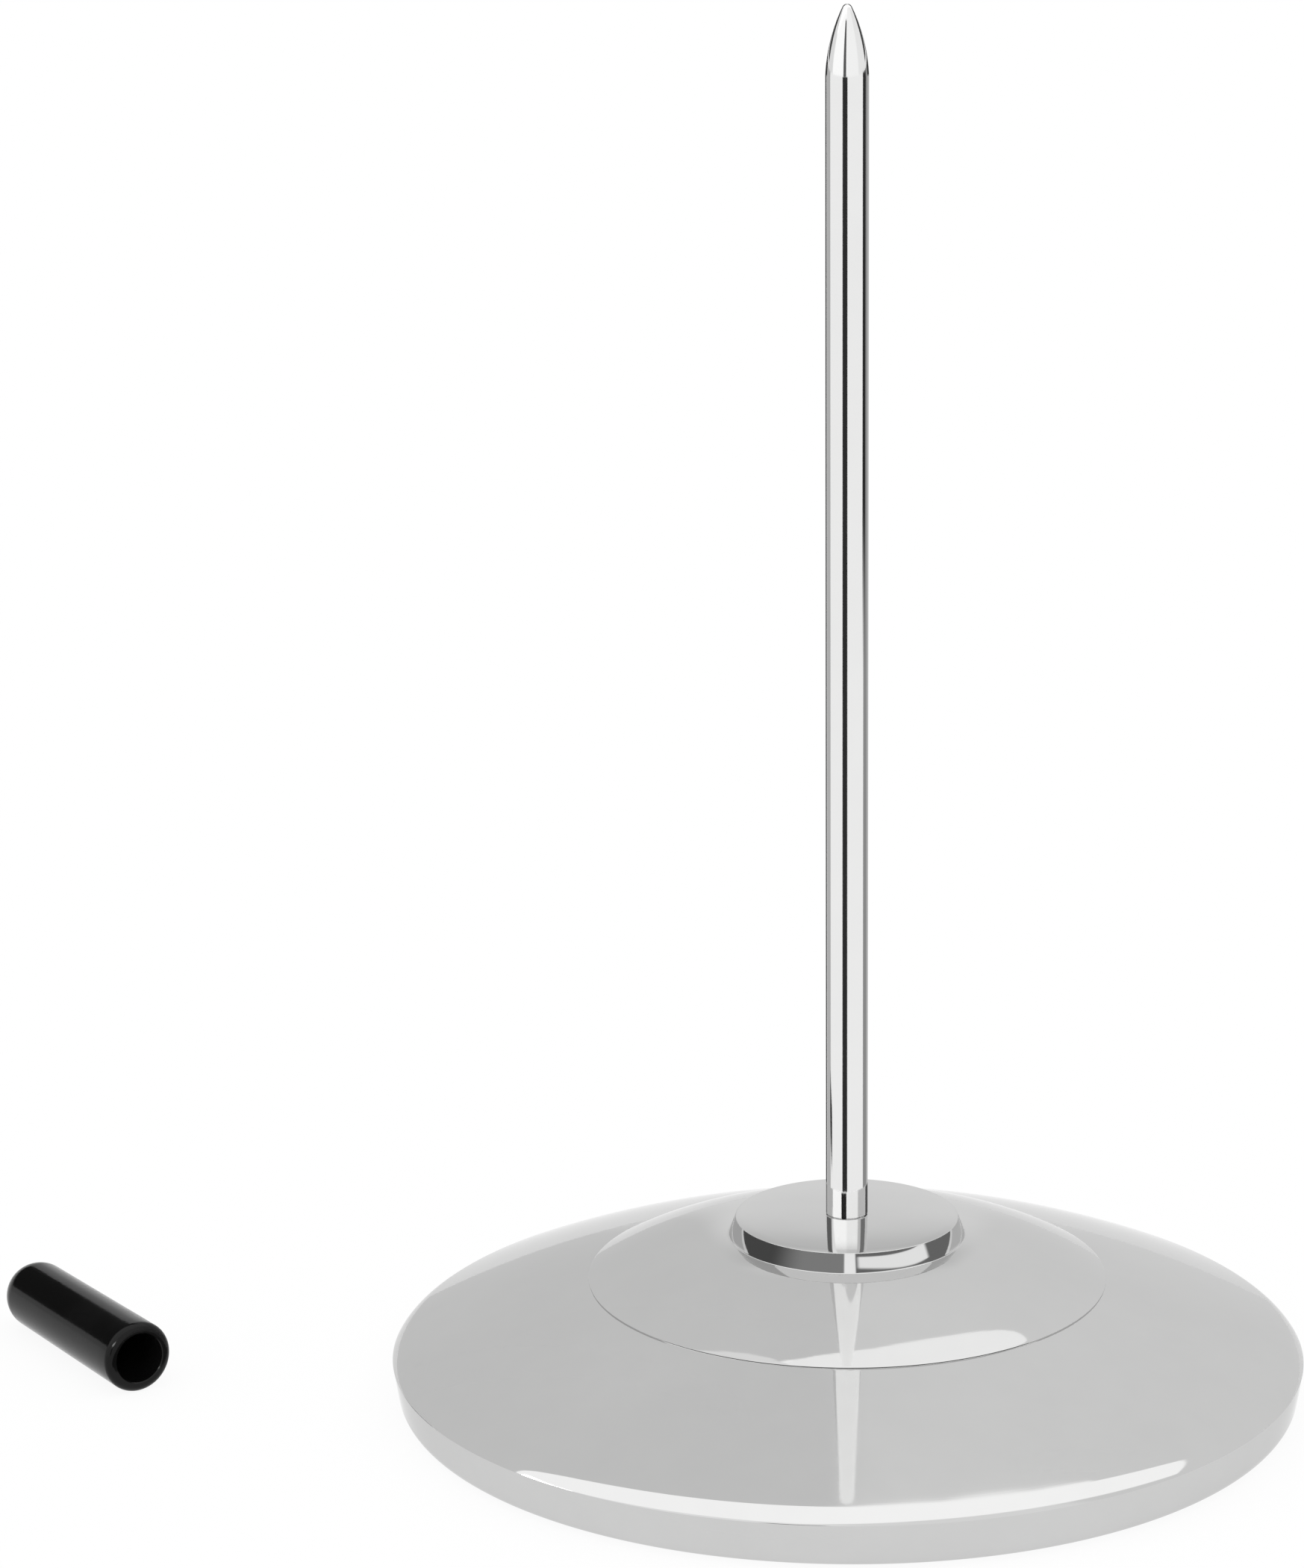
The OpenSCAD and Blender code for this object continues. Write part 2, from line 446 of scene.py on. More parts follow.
@dataclass(frozen=True)
class PolishedSteel:
    """Mirror-polished stainless steel, with the faint lapping lines and wiped haze of real polish."""

    name: str
    lay: Lay
    deep: Colour = (0.585, 0.585, 0.583)
    bright: Colour = (0.615, 0.615, 0.612)
    edge: float = 0.86
    smooth: float = 0.025
    hazy: float = 0.05

    def material(self) -> bpy.types.Material:
        """Builds the material."""
        material, shader = surface(self.name)
        where = shader.place()
        x, y, z = shader.axes(where)
        if self.lay is Lay.ROUND_THE_AXIS:
            across = (x * x + y * y) ** 0.5
        else:
            across = z
        lines = shader.stripes(across, 5200.0, 3.0)
        haze = shader.noise(where, 55.0, 3.0).rise(0.35, 0.75)
        wipe = shader.noise(where, 310.0, 2.0)
        close(shader, {
            "Base Color": shader.tint(haze * 0.5 + wipe * 0.5, self.deep, self.bright),
            "Metallic": 1.0,
            "Specular Tint": (self.edge, self.edge, self.edge, 1.0),
            "Roughness": haze.between(self.smooth, self.hazy) + lines * 0.015,
            "Normal": shader.bump(lines, 0.02, 0.00002),
        })
        return material


@dataclass(frozen=True)
class GlossVinyl:
    """Black dip-moulded vinyl: glossy, a little wavy, with dull patches from handling."""

    name: str
    deep: Colour = (0.003, 0.003, 0.003)
    worn: Colour = (0.006, 0.006, 0.0061)

    def material(self) -> bpy.types.Material:
        """Builds the material."""
        material, shader = surface(self.name)
        where = shader.place()
        wave = shader.noise(where, 160.0, 1.0)
        grain = shader.noise(where, 2600.0, 2.0)
        handled = shader.noise(where, 90.0, 4.0).rise(0.42, 0.7)
        close(shader, {
            "Base Color": shader.tint(handled, self.deep, self.worn),
            "Roughness": handled.between(0.12, 0.18) + grain * 0.03,
            "Specular IOR Level": 0.18,
            "Normal": shader.bump(wave * 0.8 + grain * 0.2, 0.08, 0.0004),
        })
        return material


@dataclass(frozen=True)
class CastIron:
    """Dark painted casting with a sandy skin."""

    name: str

    def material(self) -> bpy.types.Material:
        """Builds the material."""
        material, shader = surface(self.name)
        where = shader.place()
        sand = shader.noise(where, 1900.0, 4.0, 0.65)
        patches = shader.noise(where, 120.0, 3.0)
        close(shader, {
            "Base Color": shader.tint(patches, (0.012, 0.012, 0.013), (0.03, 0.03, 0.031)),
            "Metallic": 0.3,
            "Roughness": patches.between(0.55, 0.8),
            "Normal": shader.bump(sand, 0.6, 0.0002),
        })
        return material


@dataclass(frozen=True)
class PlainSteel:
    """Unpolished steel, rolled, plated or hardened, with its own grey and its own streaks."""

    name: str
    dull: Colour
    clean: Colour
    roughness: float
    streak_scale: float

    def material(self) -> bpy.types.Material:
        """Builds the material."""
        material, shader = surface(self.name)
        where = shader.place()
        x, _, _ = shader.axes(where)
        streaks = shader.stripes(x, self.streak_scale, 3.0)
        cloud = shader.noise(where, 140.0, 3.0)
        close(shader, {
            "Base Color": shader.tint(cloud * 0.7 + streaks * 0.3, self.dull, self.clean),
            "Metallic": 1.0,
            "Roughness": (cloud - 0.5) * 0.15 + streaks * 0.06 + self.roughness,
            "Normal": shader.bump(streaks, 0.08, 0.00005),
        })
        return material


@dataclass(frozen=True)
class PadRubber:
    """Fine-grained black rubber with a little dust."""

    name: str

    def material(self) -> bpy.types.Material:
        """Builds the material."""
        material, shader = surface(self.name)
        where = shader.place()
        grain = shader.noise(where, 2400.0, 3.0)
        dust = shader.noise(where, 60.0, 4.0).rise(0.5, 0.8)
        close(shader, {
            "Base Color": shader.tint(dust, (0.013, 0.013, 0.014), (0.03, 0.03, 0.03)),
            "Roughness": dust.between(0.72, 0.88),
            "Normal": shader.bump(grain, 0.35, 0.00015),
        })
        return material


def dress(piece: bpy.types.Object, material: bpy.types.Material) -> None:
    """Gives a piece one material all over.

    Args:
        piece: the piece or CAD node.
        material: the material.
    """
    if not piece.material_slots:
        piece.data.materials.append(material)
    for slot in piece.material_slots:
        slot.material = material


# The object


@dataclass
class WeightedBase:
    """The two polished pressings of the base, in millimetres."""

    base_r: float = 55.0
    foot_z: float = 0.3
    rim_h: float = 5.5
    skirt_lean: float = 0.9
    bend_r: float = 2.0
    lip_w: float = 3.0
    edge_r: float = 3.9
    edge_tilt: float = 60.0
    crease_r: float = 0.1
    crease_room: float = 3.0
    flank_r: float = 127.0
    sheet_t: float = 0.8
    hole_r: float = 10.8
    dome_r: float = 31.2
    dome_foot_h: float = 0.15
    dome_edge_r: float = 0.03
    dome_crown_r: float = 46.0
    dome_rise: float = 5.35
    boss_r: float = 14.2
    boss_h: float = 2.6
    boss_lean: float = 1.0
    boss_wall_r: float = 22.0
    boss_fillet_r: float = 0.12
    boss_edge_r: float = 0.08
    boss_crown: float = 0.35
    crown_steps: int = 10
    stud_hole_r: float = 2.15
    lathe: Lathe = field(default_factory=Lathe)

    @property
    def edge_centre(self) -> Point:
        """Centre of the rolled edge's arc."""
        tilt = math.radians(self.edge_tilt)
        return (self.base_r - self.edge_r * math.sin(tilt),
                self.foot_z + self.rim_h - self.edge_r * math.cos(tilt))

    @property
    def flank_centre(self) -> Point:
        """Centre of the sphere that the flank is part of."""
        radius, height = self.edge_centre
        return (0.0, height - math.sqrt((self.flank_r - self.edge_r) ** 2 - radius**2))

    @property
    def seat_z(self) -> float:
        """Height of the flat seat under the dome."""
        return self.flank_centre[1] + math.sqrt(self.flank_r**2 - self.dome_r**2)

    @property
    def boss_z(self) -> float:
        """Height of the top of the boss."""
        return self.seat_z + self.dome_rise + self.boss_h

    def shell_path(self) -> list[Point]:
        """Outer path of the lower pressing, from its lip up to its seat."""
        crease = (self.base_r, self.foot_z + self.rim_h)
        skirt = 90 + math.degrees(math.atan(self.skirt_lean / self.rim_h))
        lean = math.radians(skirt)
        run = (self.rim_h - self.bend_r * (1 + math.cos(lean))) / math.sin(lean)
        bend = (crease[0] + run * math.cos(lean) - self.bend_r * math.sin(lean),
                crease[1] - run * math.sin(lean) - self.bend_r * math.cos(lean))
        edge_end = tilt_of(self.edge_centre, self.flank_centre)
        bend_points = arc(bend, self.bend_r, 180, skirt, 12)
        edge_points = arc(self.edge_centre, self.edge_r, self.edge_tilt - self.crease_room, edge_end, 28)
        flank_start = math.degrees(math.asin(self.dome_r / self.flank_r))
        flank_points = arc(self.flank_centre, self.flank_r, edge_end, flank_start, 64)
        crease_points = rounded(bend_points[-1], crease, edge_points[0], self.crease_r, 6)
        return ([(bend[0] - self.lip_w, self.foot_z)] + bend_points + crease_points + edge_points
                + flank_points[1:] + [(self.hole_r, self.seat_z)])

    def dome_outline(self) -> list[Point]:
        """Closed outline of the upper pressing, from its foot over the boss and back along its inside."""
        edge = (self.dome_r, self.seat_z + self.dome_foot_h)
        foot = (self.boss_r, self.seat_z + self.dome_rise)
        top = (self.boss_r - self.boss_lean, self.boss_z)
        hole = (self.stud_hole_r, self.boss_z)
        crown = meet(foot, self.dome_crown_r, edge, self.dome_crown_r)
        wall = meet(top, self.boss_wall_r, foot, self.boss_wall_r)
        dome = arc(crown, self.dome_crown_r, tilt_of(edge, crown), tilt_of(foot, crown), 64)
        side = arc(wall, self.boss_wall_r, tilt_of(foot, wall), tilt_of(top, wall), 24)
        trim = math.degrees(math.acos((self.seat_z - crown[1]) / (self.dome_crown_r - self.sheet_t)))
        under = arc(crown, self.dome_crown_r, trim, tilt_of(foot, crown), 64) + side[1:] + [hole]
        side = [p for p in side if p[1] < self.boss_z - self.boss_crown]
        shoulder = (side[-1][0], self.boss_z - self.boss_crown)
        shares = [1 - i / self.crown_steps for i in range(1, self.crown_steps)]
        plateau = [(shoulder[0] * share, self.boss_z - self.boss_crown * share**3) for share in shares]
        rim = rounded((self.dome_r, self.seat_z), edge, dome[1], self.dome_edge_r, 8)
        fillet = rounded(dome[-2], foot, side[1], self.boss_fillet_r, 8)
        brow = rounded(side[-2], shoulder, plateau[0], self.boss_edge_r, 8)
        outside = ([(self.dome_r, self.seat_z)] + rim
                   + [p for p in dome if fillet[0][0] < p[0] < rim[-1][0]] + fillet
                   + [p for p in side if fillet[-1][1] < p[1] < brow[0][1]] + brow
                   + [p for p in plateau if self.stud_hole_r < p[0] < brow[-1][0]] + [hole])
        inside = beside(under, self.sheet_t)
        return outside + list(reversed(inside)) + outside[:1]

    def build(self) -> None:
        """Turns both pressings, gives them the sheet's thickness and dresses them."""
        finish = PolishedSteel("polished_sheet", Lay.ROUND_THE_AXIS).material()
        lower = self.lathe.turn("lower_pressing", self.shell_path())
        self._face_outwards(lower)
        apply_modifier(lower, "SOLIDIFY", {
            "thickness": self.sheet_t * MM, "offset": -1.0, "use_even_offset": True})
        upper = self.lathe.turn("upper_pressing", self.dome_outline())
        for piece, node, slot in ((lower, "base_shell", "polished_shell"),
                                  (upper, "upper_dome", "polished_dome")):
            dress(piece, finish)
            adopt(piece, Body.STAND, node)

    @staticmethod
    def _face_outwards(piece: bpy.types.Object) -> None:
        """Turns an open pressing's faces so that its highest ones point up."""
        highest = max(piece.data.polygons, key=lambda face: face.center.z)
        if highest.normal.z < 0:
            bpy.ops.object.mode_set(mode="EDIT")
            bpy.ops.mesh.select_all(action="SELECT")
            bpy.ops.mesh.flip_normals()
            bpy.ops.object.mode_set(mode="OBJECT")


@dataclass
class PaperSpike:
    """The polished rod with its ground point, and its stud, in millimetres."""

    foot_z: float
    rod_r: float = 2.5
    overall_h: float = 168.0
    point_l: float = 8.2
    point_crown_r: float = 20.0
    tip_r: float = 0.6
    foot_chamfer: float = 0.12
    stud_r: float = 2.0
    stud_z: float = 2.9
    stud_chamfer: float = 0.4
    shaft_steps: int = 24
    lathe: Lathe = field(default_factory=lambda: Lathe(segments=160))

    def path(self) -> list[Point]:
        """Outline from the stud's end up to the tip."""
        tip = (0.0, self.overall_h - self.tip_r)
        shoulder = (self.rod_r, self.overall_h - self.point_l)
        crown = meet(shoulder, self.point_crown_r, tip, self.point_crown_r - self.tip_r)
        tip_start = tilt_of(tip, crown)
        point = arc(crown, self.point_crown_r, tilt_of(shoulder, crown), tip_start, 40)
        stud = [(0.0, self.stud_z), (self.stud_r - self.stud_chamfer, self.stud_z),
                (self.stud_r, self.stud_z + self.stud_chamfer), (self.stud_r, self.foot_z)]
        foot = [(self.rod_r - self.foot_chamfer, self.foot_z), (self.rod_r, self.foot_z + self.foot_chamfer)]
        rise = shoulder[1] - foot[-1][1]
        shaft = [(self.rod_r, foot[-1][1] + rise * i / self.shaft_steps) for i in range(1, self.shaft_steps)]
        return stud + foot + shaft + point + arc(tip, self.tip_r, tip_start, 0, 12)[1:]

    def build(self) -> None:
        """Turns the rod and dresses it."""
        piece = self.lathe.turn("pointed_rod", self.path())
        finish = PolishedSteel("polished_rod", Lay.UP_THE_ROD, deep=(0.80, 0.80, 0.798),
                               bright=(0.835, 0.835, 0.832), edge=1.0, smooth=0.045, hazy=0.085)
        dress(piece, finish.material())
        adopt(piece, Body.STAND, "spike")


@dataclass
class SafetyCap:
    """The moulded cap that lies beside the base, in millimetres and degrees."""

    length: float = 31.2
    mouth_r: float = 4.4
    end_r: float = 4.2
    lip_r: float = 0.95
    flare_r: float = 3.1
    flare_l: float = 3.5
    flare_chamfer: Point = (0.1, 0.12)
    side_steps: int = 12
    bore_r: float = 2.5
    end_t: float = 3.0
    mouth: tuple[float, float] = (-86.0, -0.9)
    turn: float = -55.0
    lathe: Lathe = field(default_factory=lambda: Lathe(segments=128))

    @property
    def taper(self) -> float:
        """Angle between the cap's side and its axis, in radians."""
        return math.asin((self.mouth_r - self.end_r) / (self.length - self.end_r))

    def path(self) -> list[Point]:
        """Closed outline, from the flared mouth over the lip and the round end to the bore."""
        end = (0.0, self.length - self.end_r)
        bore_end = (0.0, self.length - self.end_t - self.bore_r)
        lip = (self.mouth_r - self.lip_r, self.lip_r)
        outside = arc(end, self.end_r, 90 - math.degrees(self.taper), 0, 32)
        inside = arc(bore_end, self.bore_r, 0, 90, 16)
        widen, climb = outside[0][0] - self.mouth_r, outside[0][1] - lip[1]
        shares = [i / self.side_steps for i in range(1, self.side_steps)]
        sides = [(self.mouth_r + widen * share, lip[1] + climb * share) for share in shares]
        mouth = [(self.flare_r, self.flare_chamfer[1]), (self.flare_r + self.flare_chamfer[0], 0.0)]
        return (mouth + arc(lip, self.lip_r, 180, 90, 12) + sides + outside + inside
                + [(self.bore_r, self.flare_l)] + mouth[:1])

    def build(self) -> None:
        """Turns the cap, lays it on the counter and dresses it."""
        piece = self.lathe.turn("vinyl_cap", self.path())
        centre = Vector((self.mouth[0], self.mouth[1], self.mouth_r * math.cos(self.taper))) * MM
        place = (Matrix.Translation(centre) @ Matrix.Rotation(math.radians(self.turn), 4, "Z")
                 @ Matrix.Rotation(-math.pi / 2 - self.taper, 4, "Y"))
        set_down(piece, place)
        dress(piece, GlossVinyl("black_vinyl").material())
        adopt(piece, Body.CAP, "safety_cap")


@dataclass
class HiddenParts:
    """The weight, the fixing and the underside, which keep their CAD solids."""

    nodes: dict[str, bpy.types.Object]

    def build(self) -> None:
        """Dresses each hidden solid in its own finish."""
        plated = PlainSteel("bright_zinc", (0.42, 0.43, 0.45), (0.58, 0.59, 0.62), 0.28, 900.0).material()
        spring = PlainSteel("spring_steel", (0.08, 0.082, 0.088), (0.14, 0.142, 0.15), 0.42,
                            1500.0).material()
        sheet = PlainSteel("rolled_sheet", (0.3, 0.305, 0.31), (0.4, 0.405, 0.41), 0.34, 2600.0).material()
        finishes = {
            "ballast_weight": CastIron("painted_casting").material(),
            "plain_washer": plated,
            "hex_nut": plated,
            "lock_washer": spring,
            "bottom_plate": sheet,
            "base_pad": PadRubber("pad_rubber").material(),
        }
        for name, material in finishes.items():
            dress(self.nodes[name], material)
            LOG.info("%s: CAD solid in %s", name, material.name)


# Studio


def polar(turn: float, reach: float) -> Point:
    """A place on the floor.

    Args:
        turn: its direction in degrees from straight ahead of the rod.
        reach: its distance from the rod's axis.

    Returns:
        Its x and y.
    """
    return (math.sin(math.radians(turn)) * reach, -math.cos(math.radians(turn)) * reach)


class Sender(Enum):
    """Lowest and highest place, in millimetres, of the polished surface that mirrors a card; the card's
    painted reflection shows on these heights alone.
    """

    SEAM = (13.5, 15.4)
    DOME = (15.3, 20.4)
    BOSS_FRONT = (20.4, 23.2)
    BOSS_SIDES = (20.75, 23.6)
    PLATEAU = (22.84, 23.25)
    ROD_FOOT = (23.35, 30.0)
    ROD = (24.5, 1000.0)
    UPPER_ROD = (100.0, 1000.0)
    POINT = (160.0, 169.0)


@dataclass(frozen=True)
class Wedge:
    """A level card between two directions, in millimetres and degrees, that paints a reflection of its tone
    on the sender's heights alone.

    Args:
        name: the card's name.
        sector: directions of its two sides, from straight ahead of the rod.
        tone: how bright its painted reflection shows.
        sender: the surface that mirrors it.
        level: its height above the floor; cards that overlap have levels of their own.
        reach: distances of its near and its far side from the rod's axis.
        soft: half the height over which it fades at both ends of the sender's range.
        second: whether only a second mirroring shows it.
    """

    name: str
    sector: tuple[float, float]
    tone: float
    sender: Sender = Sender.ROD
    level: float = 0.4
    reach: tuple[float, float] = (60.0, 5800.0)
    soft: float = 0.2
    second: bool = False

    def corners(self) -> list[Point]:
        """The card's corners, in order."""
        (start, end), (near, far) = self.sector, self.reach
        return [polar(start, near), polar(end, near), polar(end, far), polar(start, far)]


@dataclass(frozen=True)
class Veil:
    """A small level card that only the surface next to it mirrors, in millimetres: a painted reflection of
    its tone on that surface alone.

    Args:
        name: the card's name.
        corners: its corners, in order.
        level: its height above the floor.
        tone: how bright its painted reflection shows.
        longest: distance that it is seen from.
        clear_of: distance from the rod's axis within which nothing sees it.
    """

    name: str
    corners: tuple[Point, ...]
    level: float
    tone: float
    longest: float
    clear_of: float = 0.0


# Painted reflections: dark and grey cards that only the rod mirrors draw its long lines
ROD_PAINTED_REFLECTIONS = (
    Wedge("front_flag", (-24.0, 2.0), 0.03),
    Wedge("right_flag", (91.0, 116.0), 0.03, Sender.UPPER_ROD, level=0.46, soft=12.0),
    Wedge("right_low_flag", (99.0, 134.0), 0.3),
    Wedge("right_edge_flag", (134.0, 178.0), 0.5),
    Wedge("left_flag", (-138.0, -100.0), 0.5),
    Wedge("left_edge_flag", (-176.0, -141.0), 0.05),
)

# Painted reflections: the lines' lowest part, by way of the plateau, and the rod's image in the plateau, from
# cards that only second mirrorings from these heights see
FOOT_PAINTED_REFLECTIONS = tuple(
    Wedge(name, sector, tone, sender, level=level, reach=(60.0, 1500.0), soft=0.03, second=True)
    for name, sector, tone, sender, level in (
        ("foot_front", (-30.0, -2.0), 0.03, Sender.PLATEAU, 140.0),
        ("foot_left", (-172.0, -141.0), 0.35, Sender.PLATEAU, 140.0),
        ("foot_right", (125.0, 172.0), 0.15, Sender.PLATEAU, 140.0),
        ("image_left", (-148.0, -97.0), 0.2, Sender.ROD_FOOT, 136.0),
        ("image_right", (84.0, 122.0), 0.3, Sender.ROD_FOOT, 136.0),
    ))

# Painted dark reflections on the point's edges, from cards below and above that only the point mirrors
POINT_PAINTED_EDGES = (
    Wedge("point_left_flag", (-132.0, -179.0), 0.05, Sender.POINT, level=0.6),
    Wedge("point_left_scrim", (-118.0, -176.0), 0.06, Sender.POINT, level=172.0, reach=(4.0, 1500.0)),
    Wedge("point_right_flag", (132.0, 179.0), 0.05, Sender.POINT, level=0.6),
    Wedge("point_right_scrim", (118.0, 176.0), 0.06, Sender.POINT, level=172.0, reach=(4.0, 1500.0)),
)

# Painted shade on the sides of the boss, and a painted dark line at the seam under the dome, from dark cards
# that only these heights mirror
BASE_PAINTED_SHADE = (
    Wedge("boss_left_flag", (-178.0, -112.0), 0.55, Sender.BOSS_SIDES, level=0.5),
    Wedge("boss_right_flag", (112.0, 178.0), 0.66, Sender.BOSS_SIDES, level=0.5),
    Wedge("seam_flag", (-80.0, 80.0), 0.2, Sender.SEAM, level=0.7),
)

# Painted shade on the cap's side and mouth, and a painted highlight on its lip, from cards that only the
# nearby cap mirrors
CAP_PAINTED_REFLECTIONS = (
    Veil("cap_side_painted_shade", ((-84.0, 2.0), (-116.0, 48.0), (-176.0, 62.0), (-132.0, 6.0)),
         level=16.0, tone=0.05, longest=70.0, clear_of=55.0),
    Veil("mouth_painted_shade", ((-86.0, -12.0), (-78.0, -22.0), (-58.0, -10.0), (-70.0, 8.0)),
         level=0.4, tone=0.1, longest=32.0),
    Veil("lip_painted_highlight", ((-113.0, -68.0), (-92.0, -68.0), (-92.0, -43.0), (-113.0, -43.0)),
         level=33.0, tone=14.0, longest=84.0),
)

# Cards over the dome that paint its crescent and wedge highlights, which only the dome mirrors: corners as
# shares of their height
CRESCENT_PAINTED_HIGHLIGHT = ((-0.18, 0.26), (-0.09, 0.3), (-0.02, 0.32), (0.08, 0.362), (0.19, 0.445), (0.294, 0.535),
                  (0.381, 0.618), (0.465, 0.69), (0.515, 0.714), (0.545, 0.71), (0.57, 0.69), (0.585, 0.62),
                  (0.585, 0.4), (0.0, 0.1), (-0.18, 0.1))
WEDGE_PAINTED_HIGHLIGHT = ((-0.43, 0.448), (-0.352, 0.405), (-0.292, 0.366), (-0.225, 0.31), (-0.18, 0.255), (-0.18, 0.1),
               (-0.6, 0.1), (-0.6, 0.4))

# Near side of the apron, from straight ahead to one end: direction and distance
APRON_SIDE = ((0, 236), (15, 241), (30, 257), (45, 283), (60, 322), (80, 388), (95, 470), (105, 580),
              (116, 800), (128, 1500))

# Brightness of the back: degrees from the front horizon over the zenith, and grey
BACK_STOPS = ((0, 0.9), (148, 0.9), (149.5, 0.8), (151.5, 0.74), (155, 0.8), (158, 0.92), (161, 1.0),
              (166, 1.04), (180, 1.0))


@dataclass
class Studio:
    """Pale floor, soft surrounding light, and the cards whose painted reflections show in the polished pieces
    and the cap.

    Args:
        floor_half: half the floor's width in metres.
        floor_grey: colour of the floor.
        floor_glow: share of white that the floor shows to the camera and to polished metal.
        box_light: brightness of the box overhead.
        dome_light: height in millimetres of the cards that paint the dome's highlights.
        apron_level: height in millimetres of the apron.
        front_light: brightness of the panel in the apron, a painted highlight on the boss's wall.
        room: brightness of the room in front, on the left and on the right.
        room_twice: how much brighter a second mirroring shows it, on the left and on the right, as painted
            light.
        wall: brightness of the walls, on the left and on the right.
    """

    floor_half: float = 6.0
    floor_grey: float = 0.86
    floor_glow: float = 0.92
    box_light: float = 1.45
    dome_light: float = 3000.0
    apron_level: float = 150.0
    front_light: float = 1.23
    room: tuple[float, float] = (1.17, 1.06)
    room_twice: tuple[float, float] = (1.6, 1.55)
    wall: tuple[float, float] = (0.84, 0.94)

    def floor(self) -> None:
        """Lays the floor, which shows white to the camera and in polished metal and keeps soft shadows."""
        select_nothing()
        bpy.ops.mesh.primitive_plane_add(size=2 * self.floor_half)
        plane = bpy.context.object
        plane.name = "counter"
        material, shader = surface("pale_counter")
        speck = shader.noise(shader.place(), 40.0, 2.0)
        grey = self.floor_grey
        lit = shader.node("ShaderNodeBsdfDiffuse", {}, {
            "Color": shader.tint(speck, (grey, grey, grey), (grey + 0.02,) * 3)})
        white = shader.node("ShaderNodeEmission", {}, {"Color": (1, 1, 1, 1), "Strength": 1.0})
        glow = self.seen(shader) * self.floor_glow
        mixed = shader.node("ShaderNodeMixShader", {}, {0: glow, 1: lit, 2: white})
        shader.node("ShaderNodeOutputMaterial", {}, {"Surface": mixed})
        dress(plane, material)

    @staticmethod
    def seen(shader: Shader) -> Value:
        """1 on rays from the camera, from polished metal and through glass."""
        camera, glossy, through = (shader.light_path(name) for name in (
            "Is Camera Ray", "Is Glossy Ray", "Is Transmission Ray"))
        return camera.most(glossy).most(through)

    @staticmethod
    def card(name: str, corners: Sequence[Point], level: float) -> Shader:
        """Lays out a level card that only polished surfaces see.

        Args:
            name: the card's name.
            corners: its corners in millimetres, in order.
            level: its height above the floor in millimetres.

        Returns:
            The empty shader of the card's material.
        """
        select_nothing()
        bpy.ops.mesh.primitive_circle_add(vertices=len(corners), fill_type="NGON")
        card = bpy.context.object
        card.name = name
        for vertex, (x, y) in zip(card.data.vertices, corners):
            vertex.co = (x * MM, y * MM, level * MM)
        material, shader = surface(name)
        dress(card, material)
        # The card lights nothing and casts no shadow: what it shows is a painted reflection.
        card.visible_camera = card.visible_diffuse = card.visible_shadow = False
        card.visible_transmission = card.visible_volume_scatter = False
        return shader

    @staticmethod
    def light(shader: Shader, tone: Value | float, hidden: Value) -> None:
        """Ends a card's material.

        Args:
            shader: the material's shader.
            tone: how bright the card shows.
            hidden: 0 on rays that see the card and 1 on rays that pass through it.
        """
        grey = tone if isinstance(tone, Value) else (tone, tone, tone, 1.0)
        glow = shader.node("ShaderNodeEmission", {}, {"Color": grey, "Strength": 1.0})
        clear = shader.node("ShaderNodeBsdfTransparent")
        mixed = shader.node("ShaderNodeMixShader", {}, {0: hidden, 1: glow, 2: clear})
        shader.node("ShaderNodeOutputMaterial", {}, {"Surface": mixed})

    @staticmethod
    def mirrored_by(shader: Shader, sender: Sender, level: float, soft: float) -> Value:
        """Tells whether a level card is mirrored by one of the polished surfaces, so that it paints its
        reflection on that surface alone.

        Args:
            shader: the card's shader.
            sender: the surface.
            level: the card's height above the floor in millimetres.
            soft: half the millimetres over which the answer changes.

        Returns:
            1 on rays that come from the surface's heights and 0 on all others.
        """
        low, high = sender.value
        steep = 1 - shader.node("ShaderNodeLayerWeight", {}, {"Blend": 0.5}, output="Facing")
        climb = shader.light_path("Ray Length") * steep
        height = climb * (1.0 if level < low else -1.0) + level * MM
        return height.within(low * MM, high * MM, soft * MM)

    @staticmethod
    def mirrored_twice(shader: Shader) -> Value:
        """1 on rays that meet a card after two mirrorings or more, and 0 after one."""
        return shader.light_path("Ray Depth").rise(1.2, 1.8)

    def lay(self, wedge: Wedge) -> None:
        """Lays out one wedge.

        Args:
            wedge: the card.
        """
        shader = self.card(wedge.name, wedge.corners(), wedge.level)
        # Only rays from the sender's heights see the card: a painted reflection on that surface alone.
        hidden = 1 - self.mirrored_by(shader, wedge.sender, wedge.level, wedge.soft)
        if wedge.second:
            hidden = hidden.most(1 - self.mirrored_twice(shader))
        self.light(shader, wedge.tone, hidden)

    def hang(self, veil: Veil) -> None:
        """Hangs one veil.

        Args:
            veil: the card.
        """
        shader = self.card(veil.name, veil.corners, veil.level)
        x, y, _ = shader.axes(shader.place())
        length = shader.light_path("Ray Length")
        nearest = (x * x + y * y) ** 0.5 - veil.clear_of * MM
        far = length.rise(veil.longest * MM * 0.98, veil.longest * MM * 1.02)
        # Only short rays from outside clear_of see the card: a painted reflection on the nearby surface
        # alone.
        self.light(shader, veil.tone, far.most((length - nearest).rise(-MM, 0.0)))

    def dome_painted_highlights(self) -> None:
        """Hangs the two cards that paint the crescent and wedge highlights on the dome alone."""
        for name, shares, tone in (("crescent_painted_highlight", CRESCENT_PAINTED_HIGHLIGHT, 1.33),
                                   ("wedge_painted_highlight", WEDGE_PAINTED_HIGHLIGHT, 1.1)):
            corners = [(x * self.dome_light, y * self.dome_light) for x, y in shares]
            shader = self.card(name, corners, self.dome_light)
            self.light(shader, tone, 1 - self.mirrored_by(shader, Sender.DOME, self.dome_light, soft=0.2))

